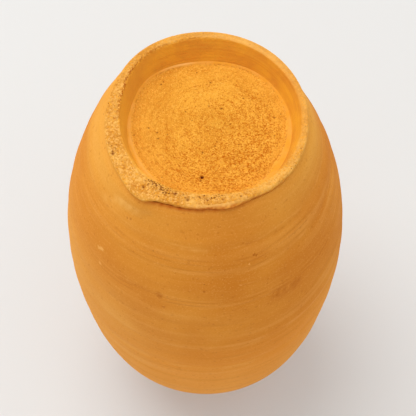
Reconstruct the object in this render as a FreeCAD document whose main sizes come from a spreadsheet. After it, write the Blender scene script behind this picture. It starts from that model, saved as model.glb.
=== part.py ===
import FreeCAD, Part
import math
import os
import re

import Sketcher

# A thrown terracotta bud vase, in millimetres.
# It stands on its foot ring at z = 0, with the Z axis through the middle of the foot and the mouth up.
# Its pieces are the ones that a potter makes and lutes together with slip, and the coat that lines it.

SIZES = {
    # Outline, from the foot up
    "foot_radius": 25.0,
    "foot_height": 2.2,
    "foot_edge": 0.7,
    "foot_step": 0.5,
    "belly_radius": 38.1,
    "belly_height": 61.5,
    "shoulder_inset": 5.2,
    "shoulder_rise": 44.5,
    "shoulder_round": 22.0,
    "neck_radius": 11.5,
    "neck_round": 15.0,
    "lip_rise": 8.3,
    # Walls and coats
    "wall": 4.0,
    "floor_thickness": 5.0,
    "floor_round": 2.5,
    "neck_slip_width": 0.5,
    "glaze": 0.35,
    # The foot's recess, which was pressed in a little off centre
    "ring_width": 3.0,
    "recess_depth": 8.0,
    "recess_taper": 1.8,
    "recess_shift_x": -1.25,
    "recess_shift_y": 1.25,
    # The luted joint between the ring, the floor and the wall
    "foot_slip_width": 0.3,
    "bevel_run": 1.6,
    "seat_lip": 1.0,
    "floor_taper": 1.0,
    "bead": 0.8,
    "bead_fullness": 1.15,
}

FORMULAS = {
    # Foot and floor
    "crevice_height": "foot_height + foot_slip_width",
    "ring_top": "recess_depth - foot_slip_width",
    "bevel_radius": "foot_radius - bevel_run",
    "recess_radius": "foot_radius - ring_width",
    "recess_top_radius": "recess_radius - recess_taper",
    "bead_foot": "ring_top - bead",
    "bead_foot_radius": "recess_radius - recess_taper * bead_foot / ring_top",
    "floor_radius": "bevel_radius - seat_lip",
    "floor_top_radius": "floor_radius - floor_taper",
    "floor_top": "recess_depth + floor_thickness",
    # Belly: one arc below the widest level and one above it, both upright there
    "wall_foot_radius": "foot_radius + foot_step",
    "lower_bulge": "belly_radius - wall_foot_radius",
    "lower_reach": "belly_height - crevice_height",
    "lower_arc": "(lower_bulge ^ 2 + lower_reach ^ 2) / (2 * lower_bulge)",
    "lower_axis": "belly_radius - lower_arc",
    "upper_arc": "(shoulder_inset ^ 2 + shoulder_rise ^ 2) / (2 * shoulder_inset)",
    "upper_axis": "belly_radius - upper_arc",
    # Shoulder: an arc that runs on smoothly from the upper belly
    "shoulder_lean": "shoulder_rise / upper_arc",
    "shoulder_square": "(upper_arc - shoulder_inset) / upper_arc",
    "shoulder_axis": "upper_axis + (upper_arc - shoulder_round) * shoulder_square",
    "shoulder_level": "belly_height + (upper_arc - shoulder_round) * shoulder_lean",
    # Neck: a hollow arc that runs on smoothly from the shoulder, up to a full round lip
    "neck_axis": "neck_radius + neck_round",
    "neck_span": "neck_round + shoulder_round",
    "neck_level": "shoulder_level + sqrt(neck_span ^ 2 - (neck_axis - shoulder_axis) ^ 2)",
    "joint_out": "(neck_axis - shoulder_axis) / neck_span",
    "joint_up": "(neck_level - shoulder_level) / neck_span",
    "slip_turn": "neck_slip_width / shoulder_round",
    "slip_ahead": "sqrt(1 - slip_turn ^ 2)",
    "wall_end_out": "joint_out * slip_ahead + joint_up * slip_turn",
    "wall_end_up": "joint_up * slip_ahead - joint_out * slip_turn",
    "lip_up": "lip_rise / (neck_round + wall / 2)",
    "lip_in": "sqrt(1 - lip_up ^ 2)",
    "lip_axis": "neck_axis - (neck_round + wall / 2) * lip_in",
    "lip_level": "neck_level + lip_rise",
    # Inside corner between the floor and the wall
    "inner_arc": "lower_arc - wall",
    "corner_level": "floor_top + floor_round",
    "corner_drop": "belly_height - corner_level",
    "corner_radius": "lower_axis + sqrt((inner_arc - floor_round) ^ 2 - corner_drop ^ 2)",
    "corner_out": "(corner_radius - lower_axis) / (inner_arc - floor_round)",
    "corner_down": "corner_drop / (inner_arc - floor_round)",
}

# The side of an edge that an arc's centre lies on, as one walks along the outline
LEFT = 1
RIGHT = -1
FULL_TURN = 360

doc = FreeCAD.newDocument("bud_vase")
sheet = doc.addObject("Spreadsheet::Sheet", "Sizes")


def fill_sheet():
    """Writes the sizes and the formulas that follow from them, one to a row, each under its own alias."""
    row = 1
    for name, size in SIZES.items():
        sheet.set(f"A{row}", name)
        sheet.set(f"B{row}", str(size))
        sheet.setAlias(f"B{row}", name)
        row += 1
    for name, formula in FORMULAS.items():
        sheet.set(f"A{row}", name)
        sheet.setAlias(f"B{row}", name)
        sheet.set(f"B{row}", "=" + formula)
        row += 1
    doc.recompute()


def bound(words):
    """Turns words such as 'foot_radius - foot_edge' into an expression on the sheet's cells."""
    def cell(match):
        name = match.group()
        return f"Sizes.{name}" if name in SIZES or name in FORMULAS else name
    return re.sub(r"[a-z_]+", cell, words)


def value(words):
    """The number that such words give."""
    return float(sheet.evalExpression(bound(words)))


def origin_plane(body, role):
    for feature in body.Origin.OriginFeatures:
        if feature.Role == role:
            return feature
    raise ValueError(f"{body.Label} has no {role}")


def arc_between(start, end, radius, side):
    """The shorter arc from start to end, as a circle's arc that runs anticlockwise."""
    chord = end - start
    rise = math.sqrt(radius ** 2 - (chord.Length / 2) ** 2)
    across = FreeCAD.Vector(-chord.y, chord.x, 0).normalize()
    centre = (start + end) / 2 + across * rise * side
    first, last = (start, end) if side == LEFT else (end, start)
    angles = [math.atan2(point.y - centre.y, point.x - centre.x) for point in (first, last)]
    circle = Part.Circle(centre, FreeCAD.Vector(0, 0, 1), radius)
    return Part.ArcOfCircle(circle, angles[0], angles[1])


def pin_corner(sketch, edge, end, radius, height):
    """Holds one corner of a section at its radius and height."""
    for kind, words, axis in (("DistanceX", radius, -2), ("DistanceY", height, -1)):
        if words == "0":
            sketch.addConstraint(Sketcher.Constraint("PointOnObject", edge, end, axis))
            continue
        held = sketch.addConstraint(Sketcher.Constraint(kind, -1, 1, edge, end, value(words)))
        sketch.setExpression(f"Constraints[{held}]", bound(words))


def draw_section(body, name, outline):
    """Draws a closed half section on the body's XZ plane.

    Each entry of the outline is a corner's radius, its height and the edge that leads on from it:
    None for a straight one, or an arc's radius and the side that its centre lies on.
    """
    sketch = body.newObject("Sketcher::SketchObject", name)
    sketch.AttachmentSupport = (origin_plane(body, "XZ_Plane"), [""])
    sketch.MapMode = "FlatFace"
    corners = [FreeCAD.Vector(value(radius), value(height), 0) for radius, height, _ in outline]
    ends = []
    for index, (_, _, arc) in enumerate(outline):
        start = corners[index]
        end = corners[(index + 1) % len(corners)]
        if arc is None:
            edge = sketch.addGeometry(Part.LineSegment(start, end))
            ends.append((1, 2))
            continue
        edge = sketch.addGeometry(arc_between(start, end, value(arc[0]), arc[1]))
        ends.append((1, 2) if arc[1] == LEFT else (2, 1))
        held = sketch.addConstraint(Sketcher.Constraint("Radius", edge, value(arc[0])))
        sketch.setExpression(f"Constraints[{held}]", bound(arc[0]))
    for index, (radius, height, _) in enumerate(outline):
        before = (index - 1) % len(outline)
        sketch.addConstraint(Sketcher.Constraint("Coincident", before, ends[before][1], index, ends[index][0]))
        pin_corner(sketch, index, ends[index][0], radius, height)
    return sketch


def turn(body, name, outline):
    """Adds the solid that a half section sweeps when it turns round the sketch's upright axis."""
    sketch = draw_section(body, f"{name}_section", outline)
    solid = body.newObject("PartDesign::Revolution", name)
    solid.Profile = sketch
    solid.ReferenceAxis = (sketch, ["V_Axis"])
    solid.Angle = FULL_TURN
    sketch.Visibility = False
    doc.recompute()
    return sketch


def new_piece(name):
    body = doc.addObject("PartDesign::Body", name)
    body.Label = name
    return body


def shift_to_recess(feature, across):
    """Moves an attached feature from the Z axis to the recess's own axis.

    across says how that feature's own axes see a move along Y.
    """
    feature.setExpression("AttachmentOffset.Base.x", bound("recess_shift_x"))
    feature.setExpression(f"AttachmentOffset.Base.{across[0]}", bound(across[1] + "recess_shift_y"))


def bore_recess(body, name, low_radius, high_radius, low, high):
    """Cuts a round hole about the recess's axis from one height to another, tapered where its radii differ."""
    volume = body.Shape.Volume
    hole = body.newObject("PartDesign::SubtractiveCone", name)
    hole.AttachmentSupport = (origin_plane(body, "XY_Plane"), [""])
    hole.MapMode = "FlatFace"
    hole.setExpression("Radius1", bound(low_radius))
    hole.setExpression("Radius2", bound(high_radius))
    hole.setExpression("Height", bound(f"{high} - {low}"))
    hole.setExpression("AttachmentOffset.Base.z", bound(low))
    shift_to_recess(hole, ("y", ""))
    doc.recompute()
    if not body.Shape.Volume < volume:
        raise ValueError(f"{name} cut nothing from {body.Label}")


def on_shoulder(arc, out, up):
    """A corner at a distance from the shoulder arc's centre, in a direction given by its two shares."""
    return f"shoulder_axis + ({arc}) * {out}", f"shoulder_level + ({arc}) * {up}"


def on_neck(arc, inward, up):
    """A corner at a distance from the neck arc's centre, which stands outside the neck."""
    return f"neck_axis - ({arc}) * {inward}", f"neck_level + ({arc}) * {up}"


def shoulder_start(depth):
    """The corner where the upper belly runs into the shoulder, at a depth under the outside."""
    return on_shoulder(f"shoulder_round - {depth}", "shoulder_square", "shoulder_lean")


def corner_end(depth):
    """The corner where the floor's inside round runs into the wall, at a depth under the outside."""
    arc = f"(lower_arc - {depth})"
    return f"lower_axis + {arc} * corner_out", f"belly_height - {arc} * corner_down"


def make_body_wall():
    """The belly and shoulder, with a tapered seat for the floor and a bevelled foot for the ring."""
    inner = "wall"
    outline = [
        ("floor_radius", "recess_depth", None),
        ("bevel_radius", "recess_depth", None),
        ("foot_radius", "crevice_height", None),
        ("wall_foot_radius", "crevice_height", ("lower_arc", LEFT)),
        ("belly_radius", "belly_height", ("upper_arc", LEFT)),
        (*shoulder_start("0"), ("shoulder_round", LEFT)),
        (*on_shoulder("shoulder_round", "wall_end_out", "wall_end_up"), None),
        (*on_shoulder("shoulder_round - wall", "wall_end_out", "wall_end_up"),
         ("shoulder_round - wall", RIGHT)),
        (*shoulder_start(inner), ("upper_arc - wall", RIGHT)),
        ("belly_radius - wall", "belly_height", ("inner_arc", RIGHT)),
        (*corner_end(inner), ("floor_round", RIGHT)),
        ("corner_radius", "floor_top", None),
        ("floor_top_radius", "floor_top", None),
    ]
    turn(new_piece("body_wall"), "wall_solid", outline)


def make_base_disc():
    """The floor, wedged into the wall's tapered seat from below."""
    outline = [
        ("0", "recess_depth", None),
        ("floor_radius", "recess_depth", None),
        ("floor_top_radius", "floor_top", None),
        ("0", "floor_top", None),
    ]
    turn(new_piece("base_disc"), "floor_solid", outline)


def make_foot_ring():
    """The ring that the vase stands on, bevelled to fit under the wall and hollowed off centre."""
    body = new_piece("foot_ring")
    outline = [
        ("0", "0", None),
        ("foot_radius - foot_edge", "0", ("foot_edge", LEFT)),
        ("foot_radius", "foot_edge", None),
        ("foot_radius", "foot_height", None),
        ("bevel_radius", "ring_top", None),
        ("0", "ring_top", None),
    ]
    turn(body, "ring_blank", outline)
    bore_recess(body, "ring_recess", "recess_radius", "recess_top_radius", "0", "ring_top")


def make_foot_slip():
    """The slip between ring, wall and floor, squeezed out as a bead round the recess's floor."""
    body = new_piece("foot_slip")
    layer = [
        ("0", "ring_top", None),
        ("bevel_radius", "ring_top", None),
        ("foot_radius", "foot_height", None),
        ("foot_radius", "crevice_height", None),
        ("bevel_radius", "recess_depth", None),
        ("0", "recess_depth", None),
    ]
    turn(body, "slip_layer", layer)
    bore_recess(body, "slip_bore", "recess_top_radius", "recess_top_radius", "ring_top", "recess_depth")
    bead = [
        ("recess_top_radius - bead", "recess_depth", ("bead * bead_fullness", LEFT)),
        ("bead_foot_radius", "bead_foot", None),
        ("recess_top_radius", "ring_top", None),
        ("recess_top_radius", "recess_depth", None),
    ]
    section = turn(body, "slip_bead", bead)
    shift_to_recess(section, ("z", "-"))


def make_neck_collar():
    """The neck, hollow in outline, from its joint on the shoulder up to a full round lip."""
    outline = [
        (*on_shoulder("shoulder_round", "joint_out", "joint_up"), ("neck_round", RIGHT)),
        (*on_neck("neck_round", "lip_in", "lip_up"), ("wall / 2", LEFT)),
        ("lip_axis + wall / 2 * lip_up", "lip_level + wall / 2 * lip_in", ("wall / 2", LEFT)),
        (*on_neck("neck_round + wall", "lip_in", "lip_up"), ("neck_round + wall", LEFT)),
        (*on_shoulder("shoulder_round - wall", "joint_out", "joint_up"), None),
    ]
    turn(new_piece("neck_collar"), "neck_solid", outline)


def make_neck_slip():
    """The slip that joins the neck to the shoulder, flush with both sides of the wall."""
    outline = [
        (*on_shoulder("shoulder_round", "wall_end_out", "wall_end_up"), ("shoulder_round", LEFT)),
        (*on_shoulder("shoulder_round", "joint_out", "joint_up"), None),
        (*on_shoulder("shoulder_round - wall", "joint_out", "joint_up"), ("shoulder_round - wall", RIGHT)),
        (*on_shoulder("shoulder_round - wall", "wall_end_out", "wall_end_up"), None),
    ]
    turn(new_piece("neck_slip"), "neck_slip_solid", outline)


def make_glaze_lining():
    """The thin coat on the inside, from the floor up to where the lip begins to turn over."""
    inner = "(wall + glaze)"
    outline = [
        ("0", "floor_top", None),
        ("corner_radius", "floor_top", ("floor_round", LEFT)),
        (*corner_end("wall"), ("inner_arc", LEFT)),
        ("belly_radius - wall", "belly_height", ("upper_arc - wall", LEFT)),
        (*shoulder_start("wall"), ("shoulder_round - wall", LEFT)),
        (*on_shoulder("shoulder_round - wall", "joint_out", "joint_up"), ("neck_round + wall", RIGHT)),
        (*on_neck("neck_round + wall", "lip_in", "lip_up"), None),
        (*on_neck(f"neck_round + {inner}", "lip_in", "lip_up"), (f"neck_round + {inner}", LEFT)),
        (*on_shoulder(f"shoulder_round - {inner}", "joint_out", "joint_up"),
         (f"shoulder_round - {inner}", RIGHT)),
        (*shoulder_start(inner), (f"upper_arc - {inner}", RIGHT)),
        (f"belly_radius - {inner}", "belly_height", (f"lower_arc - {inner}", RIGHT)),
        (*corner_end(inner), ("floor_round - glaze", RIGHT)),
        ("corner_radius", "floor_top + glaze", None),
        ("0", "floor_top + glaze", None),
    ]
    turn(new_piece("glaze_lining"), "glaze_solid", outline)


def check_document(pieces):
    """Stops before anything is written if a feature failed or a piece is not one sound solid."""
    for item in doc.Objects:
        if "Invalid" in item.State or "Error" in item.State:
            raise ValueError(f"{item.Label} failed: {item.State}")
    for piece in pieces:
        shape = piece.Shape
        if shape.isNull() or not shape.isValid() or len(shape.Solids) != 1:
            raise ValueError(f"{piece.Label} is not one valid solid")


fill_sheet()
make_foot_ring()
make_foot_slip()
make_base_disc()
make_body_wall()
make_neck_slip()
make_neck_collar()
make_glaze_lining()
doc.recompute()

pieces = [item for item in doc.Objects if item.TypeId == "PartDesign::Body"]
check_document(pieces)
os.makedirs("parts", exist_ok=True)
for piece in pieces:
    piece.Shape.exportStep(f"parts/{piece.Label}.step")
    box = piece.Shape.optimalBoundingBox(False)
    print(f"{piece.Label}: {piece.Shape.Volume:.1f} mm3, z {box.ZMin:.2f} to {box.ZMax:.2f}, x to {box.XMax:.2f}")
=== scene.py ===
from math import acos, asin, atan2, ceil, cos, degrees, dist, exp, hypot
from math import pi, prod, radians, sin, sqrt
import random
import bpy
from mathutils import Matrix, Vector, kdtree, noise


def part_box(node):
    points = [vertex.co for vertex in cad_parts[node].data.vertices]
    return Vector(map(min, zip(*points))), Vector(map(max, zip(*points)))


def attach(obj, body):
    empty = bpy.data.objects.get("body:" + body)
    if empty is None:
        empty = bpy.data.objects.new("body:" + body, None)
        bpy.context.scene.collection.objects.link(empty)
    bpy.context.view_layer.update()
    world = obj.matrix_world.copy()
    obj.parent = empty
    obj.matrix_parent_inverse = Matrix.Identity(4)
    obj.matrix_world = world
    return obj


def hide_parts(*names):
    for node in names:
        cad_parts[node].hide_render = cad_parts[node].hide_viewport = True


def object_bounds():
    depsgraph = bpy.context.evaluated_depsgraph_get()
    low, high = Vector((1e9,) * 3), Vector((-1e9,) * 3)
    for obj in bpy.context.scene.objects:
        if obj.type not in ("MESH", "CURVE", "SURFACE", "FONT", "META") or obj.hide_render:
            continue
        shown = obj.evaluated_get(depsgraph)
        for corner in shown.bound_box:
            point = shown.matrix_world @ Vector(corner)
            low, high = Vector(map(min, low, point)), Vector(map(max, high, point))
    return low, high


# A thrown terracotta bud vase. Its portrait is taken from below, with the vase stood on its mouth.
# Sizes are in millimetres, in the part's own frame: the foot stands on z = 0 and the mouth is up.
# Meshes and shaders are in metres, and the functions that write to them convert.

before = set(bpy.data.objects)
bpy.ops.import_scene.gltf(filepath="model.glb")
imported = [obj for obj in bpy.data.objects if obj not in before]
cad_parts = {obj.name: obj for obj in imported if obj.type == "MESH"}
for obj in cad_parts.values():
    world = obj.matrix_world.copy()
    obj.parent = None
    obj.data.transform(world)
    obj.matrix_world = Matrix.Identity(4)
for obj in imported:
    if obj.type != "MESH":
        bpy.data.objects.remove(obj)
CAD_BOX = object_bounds()

MM = 0.001
TAU = 2 * pi

# Sizes that the frame gives
FOOT_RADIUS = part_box("foot_ring")[1].x / MM
FOOT_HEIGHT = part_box("foot_slip")[0].z / MM
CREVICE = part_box("body_wall")[0].z / MM
RING_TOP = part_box("foot_ring")[1].z / MM
FLOOR_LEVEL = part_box("base_disc")[0].z / MM
FLOOR_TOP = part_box("base_disc")[1].z / MM
FLOOR_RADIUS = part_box("base_disc")[1].x / MM
BELLY_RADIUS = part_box("body_wall")[1].x / MM
MOUTH = CAD_BOX[1].z / MM

# Sizes of the outline, from the foot up
FOOT_STEP = 0.5
BELLY_HEIGHT = 61.5
SHOULDER_INSET = 5.2
SHOULDER_RISE = 44.5
SHOULDER_ROUND = 22
NECK_RADIUS = 11.5
NECK_ROUND = 15
LIP_RISE = 8.3
WALL = 4
GLAZE = 0.35
GLAZE_SAG = 0.9
GLAZE_FADE = radians(30)
NECK_SLIP = 0.5
SEAM_RIDGE = 0.08
FLOOR_ROUND = 2.5
FLOOR_TAPER = 1

# The foot: its rolled lip, the groove above the lip, and the recess that was pressed in off centre
BEVEL_RADIUS = FLOOR_RADIUS + 1
LIP_ROUND = 0.8
LIP_CORNER = 0.3
GROOVE_RADIUS = FOOT_RADIUS - 0.8
GROOVE_GAP = CREVICE - FOOT_HEIGHT - 0.05
WALL_EDGE = 0.35
RIM_ROUND = 0.35
RIM_RADIUS = 22.25
RIM_CENTRE = (-1.4, 1.4)
RECESS_RADIUS = 20.2
RECESS_CENTRE = (-1.15, 1.15)
BEAD = 0.8
BEAD_CROWN = 0.11
NUB_CENTRE = (-3.2, 3)

# The outline's arcs: lower belly, upper belly, shoulder, neck and lip, each running on from the last
WALL_FOOT = FOOT_RADIUS + FOOT_STEP
LOWER_BULGE = BELLY_RADIUS - WALL_FOOT
LOWER_REACH = BELLY_HEIGHT - CREVICE
LOWER_ARC = (LOWER_BULGE ** 2 + LOWER_REACH ** 2) / (2 * LOWER_BULGE)
LOWER_CENTRE = (BELLY_RADIUS - LOWER_ARC, BELLY_HEIGHT)
UPPER_ARC = (SHOULDER_INSET ** 2 + SHOULDER_RISE ** 2) / (2 * SHOULDER_INSET)
UPPER_CENTRE = (BELLY_RADIUS - UPPER_ARC, BELLY_HEIGHT)
SHOULDER_ANGLE = asin(SHOULDER_RISE / UPPER_ARC)
SHOULDER_CENTRE = (
    UPPER_CENTRE[0] + (UPPER_ARC - SHOULDER_ROUND) * cos(SHOULDER_ANGLE),
    BELLY_HEIGHT + (UPPER_ARC - SHOULDER_ROUND) * sin(SHOULDER_ANGLE),
)
NECK_SPAN = NECK_ROUND + SHOULDER_ROUND
JOINT_ANGLE = acos((NECK_RADIUS + NECK_ROUND - SHOULDER_CENTRE[0]) / NECK_SPAN)
NECK_CENTRE = (NECK_RADIUS + NECK_ROUND, SHOULDER_CENTRE[1] + NECK_SPAN * sin(JOINT_ANGLE))
LIP_ANGLE = pi - asin(LIP_RISE / (NECK_ROUND + WALL / 2))
LIP_CENTRE = (
    NECK_CENTRE[0] + (NECK_ROUND + WALL / 2) * cos(LIP_ANGLE),
    NECK_CENTRE[1] + LIP_RISE,
)
SLIP_ANGLE = JOINT_ANGLE - NECK_SLIP / SHOULDER_ROUND

# Meshing
WELD = 0.002
ANGLE_SLACK = 0.000002
BODY_STEPS = 360
FOOT_STEPS = 720
FLOOR_STEPS = 600
FLOOR_SPACING = 0.16
COAT_STEPS = 192
COAT_SPACING = 1.2
BEAD_CUTS = 14
SHARP = radians(62)


# Outlines


def arc(centre, radius, start, end, spacing):
    """Points along a round stretch of an outline, from one angle to the other."""
    count = max(1, ceil(abs(end - start) * radius / spacing))
    turns = [start + (end - start) * step / count for step in range(count + 1)]
    return [(centre[0] + radius * cos(turn), centre[1] + radius * sin(turn)) for turn in turns]


def run(start, end, spacing):
    """Points along a straight stretch of an outline."""
    count = max(1, ceil(dist(start, end) / spacing))
    return [tuple(a + (b - a) * step / count for a, b in zip(start, end)) for step in range(count + 1)]


def belly_line(depth, low_angle, high_angle, spacing):
    """The belly and shoulder at a depth under their outside, from below to the neck's joint."""
    lower = arc(LOWER_CENTRE, LOWER_ARC - depth, low_angle, 0, spacing)
    upper = arc(UPPER_CENTRE, UPPER_ARC - depth, 0, SHOULDER_ANGLE, spacing)
    shoulder = arc(SHOULDER_CENTRE, SHOULDER_ROUND - depth, SHOULDER_ANGLE, high_angle, spacing)
    return lower + upper[1:] + shoulder[1:]


def neck_line(depth, spacing):
    """The neck at a depth under its outside, from its joint up to where the lip begins."""
    return arc(NECK_CENTRE, NECK_ROUND + depth, JOINT_ANGLE + pi, LIP_ANGLE, spacing)


def inside_line(depth, high_angle, spacing):
    """The inside from the edge of its flat bottom up to the neck's joint."""
    inner = LOWER_ARC - WALL
    rise = FLOOR_TOP + FLOOR_ROUND
    angle = -asin((BELLY_HEIGHT - rise) / (inner - FLOOR_ROUND))
    centre = (LOWER_CENTRE[0] + (inner - FLOOR_ROUND) * cos(angle), rise)
    corner = arc(centre, FLOOR_ROUND - (depth - WALL), -pi / 2, angle, spacing / 2)
    return corner + belly_line(depth, angle, high_angle, spacing)[1:]


def edit_all():
    """Opens the active mesh for editing, with all of it selected."""
    bpy.ops.object.mode_set(mode="EDIT")
    bpy.ops.mesh.select_all(action="SELECT")


def spun(name, outline, steps):
    """Draws a half section by extruding one corner on to the next, and turns it round the vase's axis."""
    bpy.ops.object.select_all(action="DESELECT")
    bpy.ops.mesh.primitive_plane_add(size=MM, location=(0, 0, 0))
    piece = bpy.context.object
    piece.name = name
    piece.data.name = name
    edit_all()
    bpy.ops.mesh.merge(type="CENTER")
    radius, height = outline[0]
    bpy.ops.transform.translate(value=(radius * MM, 0, height * MM))
    starts_on_axis = radius == 0
    corners = outline if starts_on_axis else outline + outline[:1]
    for (radius, height), (next_radius, next_height) in zip(corners, corners[1:]):
        step = ((next_radius - radius) * MM, 0, (next_height - height) * MM)
        bpy.ops.mesh.extrude_vertices_move(TRANSFORM_OT_translate={"value": step})
    bpy.ops.mesh.select_all(action="SELECT")
    bpy.ops.mesh.remove_doubles(threshold=WELD * MM)
    bpy.ops.object.mode_set(mode="OBJECT")
    turning = piece.modifiers.new("turning", "SCREW")
    turning.steps = turning.render_steps = steps
    turning.use_merge_vertices = True
    turning.merge_threshold = WELD * MM
    bpy.ops.object.modifier_apply(modifier=turning.name)
    edit_all()
    bpy.ops.mesh.remove_doubles(threshold=WELD * MM)
    bpy.ops.mesh.normals_make_consistent(inside=False)
    bpy.ops.object.mode_set(mode="OBJECT")
    return piece


def round_axis(spot):
    """The radius, angle and height of a spot on a mesh."""
    return hypot(spot.x, spot.y) / MM, atan2(spot.y, spot.x), spot.z / MM


def reshape(piece, place):
    """Moves each vertex to the radius and height that place gives for its radius, angle and height."""
    for vertex in piece.data.vertices:
        radius, angle, height = round_axis(vertex.co)
        radius, height = place(radius, angle, height)
        vertex.co = (radius * MM * cos(angle), radius * MM * sin(angle), height * MM)


def paint(piece, **masks):
    """Writes soft masks into the mesh, for the material to read, each from a radius, angle and height."""
    for name, amount in masks.items():
        mask = piece.data.attributes.new(name, "FLOAT", "POINT")
        for vertex, spot in zip(piece.data.vertices, mask.data):
            spot.value = amount(*round_axis(vertex.co))


def finished(piece, node, finish):
    """Gives a piece its finish and sets it in the place of its node."""
    bpy.ops.object.select_all(action="DESELECT")
    piece.select_set(True)
    bpy.context.view_layer.objects.active = piece
    bpy.ops.object.shade_smooth_by_angle(angle=SHARP)
    piece.data.materials.append(finish)
    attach(piece, "root")
    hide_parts(node)


# The potter's hand


def ease(value, start, end):
    """Runs smoothly from 0 at the start to 1 at the end, which may be the lower of the two."""
    share = min(1, max(0, (value - start) / (end - start)))
    return share * share * (3 - 2 * share)


def hill(value, middle, width):
    """A soft bump: 1 at its middle, and little past its half width to either side."""
    return exp(-((value - middle) / width) ** 2)


def angle_from(angle, middle):
    """How far an angle is from another, in degrees, to either side."""
    return degrees((angle - radians(middle) + pi) % TAU - pi)


def lobe(angle, middle, width):
    """A soft bump round the vase: 1 at its middle. The middle and half width are in degrees."""
    return hill(angle_from(angle, middle), 0, width)


def lobes(angle, table):
    """The sum of some lobes, each with its height, middle and half width."""
    return sum(height * lobe(angle, middle, width) for height, middle, width in table)


def rough(radius, angle, height, size, seed):
    """Noise from about -1 to 1 on a turned surface, with lumps of the given size."""
    spot = Vector((radius * cos(angle), radius * sin(angle), height))
    return noise.noise(spot / size + Vector((seed, 0, 0)))


def on_outline(radius, height):
    """How deep a point lies under the vase's outside, and the way out from there."""
    if height < BELLY_HEIGHT:
        centre, round_size, outward = LOWER_CENTRE, LOWER_ARC, 1
    elif atan2(height - UPPER_CENTRE[1], radius - UPPER_CENTRE[0]) < SHOULDER_ANGLE:
        centre, round_size, outward = UPPER_CENTRE, UPPER_ARC, 1
    elif atan2(height - SHOULDER_CENTRE[1], radius - SHOULDER_CENTRE[0]) < JOINT_ANGLE + ANGLE_SLACK:
        centre, round_size, outward = SHOULDER_CENTRE, SHOULDER_ROUND, 1
    else:
        centre, round_size, outward = NECK_CENTRE, NECK_ROUND, -1
    out = (radius - centre[0], height - centre[1])
    reach = hypot(*out)
    return (round_size - reach) * outward, out[0] / reach * outward, out[1] / reach * outward


# Throwing marks up the outside: a groove's height, depth and half width in millimetres
GROOVES = (
    (8.6, 0.05, 1.0),
    (13.3, 0.10, 1.2),
    (22.0, 0.12, 1.5),
    (45.0, 0.08, 1.9),
    (58.2, 0.15, 1.7),
    (71.8, 0.15, 2.0),
    (84.0, 0.10, 2.0),
    (97.0, 0.14, 1.6),
    (112.0, 0.10, 1.2),
    (120.0, 0.10, 1.1),
    (126.0, 0.09, 1.0),
    (131.5, 0.08, 0.9),
)
FRONT_GROOVES = ((33.3, 0.17, 0.6), (35.1, 0.17, 0.7))
RING_PITCH = 9.5
RING_DEPTH = 0.08
OUT_OF_ROUND = 0.22
WANDER = 0.16
SHOULDER_SWELL = 0.55


def grooved(level, grooves):
    """How deep the grooves cut in at a level in millimetres."""
    return sum(depth * hill(level, middle, width) for middle, depth, width in grooves)


def thrown(angle, height):
    """How far the outside stands off its true outline: finger rings, grooves and a little out of round."""
    drift = rough(9, angle, height, 11, 3)
    rings = RING_DEPTH * sin(TAU * height / RING_PITCH - angle + drift)
    rings *= 0.6 + 0.4 * rough(12, angle, height, 17, 8)
    level = height + 0.35 * drift
    grooves = grooved(level, GROOVES) + grooved(level, FRONT_GROOVES) * lobes(angle, FRONT)
    oval = OUT_OF_ROUND * cos(2 * angle - 0.9) * ease(height, 20, 60)
    wander = WANDER * rough(30, angle, height, 23, 5)
    swell = SHOULDER_SWELL * hill(height, 100, 12)
    shown = ease(height, 3.2, 9) * ease(height, MOUTH - 3.5, MOUTH - 9)
    return (rings - grooves + oval + wander + swell) * shown


def hand_thrown(radius, angle, height, raised=0):
    """Where a point of the outside goes once it is thrown and raised a little; the inside stays."""
    depth, out, up = on_outline(radius, height)
    if depth > WALL / 2:
        return radius, height
    shift = thrown(angle, height) + raised
    return radius + out * shift, height + up * shift


# The foot's uneven places. A lobe is a height in millimetres, then a middle and half width in degrees.
FOOT_LEAN = 0.15
FOOT_LEAN_TO = radians(165)
FOOT_CORNERS = 0.36
FOOT_CORNER_AT = radians(144)
FOOT_SQUARE = 0.2
FOOT_FLATS = ((0.45, -92, 34), (0.15, -119, 12), (0.25, -70, 8))
LIP_DROP = 0.8
LIP_SWELL = ((0.52, 128, 52), (-0.25, 24, 14))
LIP_LEDGE = ((0.75, -103, 9), (0.3, -84, 9))
SQUEEZE = 1.5
KINK = -55
KINK_RUN = 5.5
SWELL_RUN = 14
RECESS_FULL = ((1, 48, 20),)
RECESS_FLAT = ((0.65, 95, 22),)
RIM_WEAR = ((0.7, -42, 26), (0.5, -150, 36), (-0.35, 134, 22), (-0.4, -92, 14))

# What comes and goes round the vase: lobes with a share in place of the height
FRONT = ((1, -90, 30),)
PRESSED = ((1, -92, 46),)
GROOVE_OPEN = ((1, -84, 44), (0.2, 120, 45))
SHARP_RIM = ((1, 35, 60),)
ROUGH_FACE = ((0.9, 8, 48), (0.5, -75, 30))
CHIPPED_RIM = ((1, 24, 32), (0.25, 80, 30))
WIDE_BEAD = ((1.5, -30, 45), (1.5, -155, 40))
SUN_BY_FOOT = ((-0.35, -92, 50), (0.18, 180, 35))
SUNNY_SIDE = ((0.15, 0, 50),)
DUSTY_SIDE = ((0.55, -20, 48),)
COARSE_GRAINS = ((1, 0, 48), (1, -78, 42), (0.45, -150, 35))
TORN_RIM = ((1, 24, 30), (0.3, 85, 30))
RUSTY_LIP = ((1, -94, 24), (0.6, -130, 18))
RUBBED_LIP = ((1, -97, 13), (0.6, 118, 50))
RUBBED_BEAD = ((1, 73, 11), (0.5, -22, 38))


def foot_out_of_round(angle):
    """The foot's outline is not quite a circle, nor quite under the belly's middle, and flat in front."""
    lean = FOOT_LEAN * cos(angle - FOOT_LEAN_TO)
    corners = FOOT_CORNERS * cos(3 * angle + FOOT_CORNER_AT)
    return lean + corners - FOOT_SQUARE * cos(4 * angle) - lobes(angle, FOOT_FLATS)


def lip_drop(angle):
    """How much lower the lip's top edge is in front, where it was pressed."""
    return LIP_DROP * lobes(angle, PRESSED)


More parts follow.
